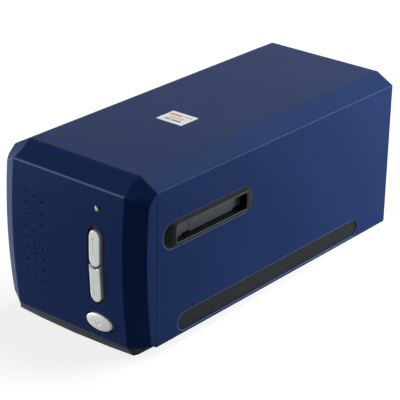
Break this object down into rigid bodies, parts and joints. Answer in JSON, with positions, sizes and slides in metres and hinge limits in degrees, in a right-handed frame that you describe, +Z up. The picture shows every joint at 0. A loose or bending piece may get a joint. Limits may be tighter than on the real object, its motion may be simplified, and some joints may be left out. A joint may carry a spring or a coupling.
{
  "type": "film negative scanner",
  "caption": "Desktop film scanner: a slot through both sides behind sprung dust flaps, stacked scan buttons, and a scan carriage that a rack and gears move inside a moulded case.",
  "frame": {"origin": "centre of the bounding box in plan, on the surface that the feet stand on", "axes": "+Z up; the button front faces -Y; +X is the scanner's right side seen from in front of it facing the picture's slot; +Y runs along the depth to the back"},
  "size_m": [0.125, 0.2719, 0.1185],
  "materials": {
    "blue_plastic": "satin moulded, deep blue",
    "silver_plastic": "silver-grey satin",
    "black_plastic": "black, fine texture",
    "green_lens": "clear green moulding",
    "dark_plastic": "dark grey, fine texture",
    "steel": "plain bright steel",
    "rubber": "matt black",
    "baffle_plastic": "matt black, light absorbing",
    "opal_plastic": "opal white",
    "circuit_board": "green lacquered laminate",
    "mirror_glass": "front-silvered glass",
    "brass": "plain",
    "ivory_plastic": "natural acetal"
  },
  "bodies": {
    "casing": {"main_housing": "blue_plastic", "front_bezel": "blue_plastic", "button_surround": "black_plastic", "status_led_lens": "green_lens", "right_slot_bezel": "dark_plastic", "right_flap_pin": "steel", "right_side_strip": "rubber", "left_slot_bezel": "dark_plastic", "left_flap_pin": "steel", "left_side_strip": "rubber", "base_tray": "dark_plastic", "foot_front_left": "rubber", "foot_front_right": "rubber", "foot_rear_left": "rubber", "foot_rear_right": "rubber", "tray_screw_1": "steel", "tray_screw_2": "steel", "tray_screw_3": "steel", "tray_screw_4": "steel", "rear_panel": "dark_plastic", "film_stage": "baffle_plastic", "film_detent_spring": "steel", "lamp_housing": "baffle_plastic", "lamp_tube": "opal_plastic", "diffuser": "opal_plastic", "inverter_board": "circuit_board", "guide_rod_left": "steel", "guide_rod_right": "steel", "motor_bracket": "steel", "stepper_motor": "steel", "gear_stud": "steel", "motor_screw_1": "steel", "motor_screw_2": "steel", "button_board": "circuit_board", "upper_switch": "black_plastic", "lower_switch": "black_plastic", "power_switch": "black_plastic", "main_board": "circuit_board", "controller_chip": "black_plastic", "usb_socket": "steel", "power_inlet": "black_plastic"},
    "carriage": {"scan_carriage": "baffle_plastic", "mirror": "mirror_glass", "lens_barrel": "black_plastic", "lens_clamp": "steel", "sensor_board": "circuit_board", "sensor_chip": "black_plastic"},
    "reduction_gear_body": {"reduction_gear": "ivory_plastic"},
    "motor_rotor": {"motor_shaft": "steel", "motor_pinion": "brass"},
    "right_flap_body": {"right_flap": "dark_plastic", "right_flap_spring": "steel"},
    "left_flap_body": {"left_flap": "dark_plastic", "left_flap_spring": "steel"},
    "upper_button_body": {"upper_scan_button": "silver_plastic"},
    "lower_button_body": {"lower_scan_button": "silver_plastic"},
    "power_button_body": {"power_button": "silver_plastic"}
  },
  "joints": [
    {"name": "carriage_slide", "type": "slide", "parent": "casing", "child": "carriage", "axis": [0, 1, 0], "range_m": [-0.013, 0.013]},
    {"name": "gear_spin", "type": "hinge", "parent": "casing", "child": "reduction_gear_body", "pos_m": [-0.0368, -0.00765, 0], "axis": [0, 0, 1], "range_deg": [-160, 160]},
    {"name": "motor_spin", "type": "hinge", "parent": "casing", "child": "motor_rotor", "pos_m": [-0.042, 0.00832, 0], "axis": [0, 0, 1], "range_deg": [-400, 400]},
    {"name": "right_flap_hinge", "type": "hinge", "parent": "casing", "child": "right_flap_body", "pos_m": [0.0552, -0.0667, 0.0825], "axis": [0, 1, 0], "range_deg": [0, 75], "stiffness_Nm_per_rad": 0.002, "springref_deg": -17.19},
    {"name": "left_flap_hinge", "type": "hinge", "parent": "casing", "child": "left_flap_body", "pos_m": [-0.0552, -0.0667, 0.0825], "axis": [0, 1, 0], "range_deg": [0, 75], "stiffness_Nm_per_rad": 0.002, "springref_deg": -17.19},
    {"name": "upper_button_press", "type": "slide", "parent": "casing", "child": "upper_button_body", "axis": [0, 1, 0], "range_m": [0, 0.001], "stiffness_N_per_m": 500, "springref_m": -0.001},
    {"name": "lower_button_press", "type": "slide", "parent": "casing", "child": "lower_button_body", "axis": [0, 1, 0], "range_m": [0, 0.001], "stiffness_N_per_m": 500, "springref_m": -0.001},
    {"name": "power_button_press", "type": "slide", "parent": "casing", "child": "power_button_body", "axis": [0, 1, 0], "range_m": [0, 0.0012], "stiffness_N_per_m": 500, "springref_m": -0.001}
  ],
  "couplings": [
    {"joint": "gear_spin", "follows": "carriage_slide", "rad_per_m": 208.33},
    {"joint": "motor_spin", "follows": "carriage_slide", "rad_per_m": -520.83}
  ]
}
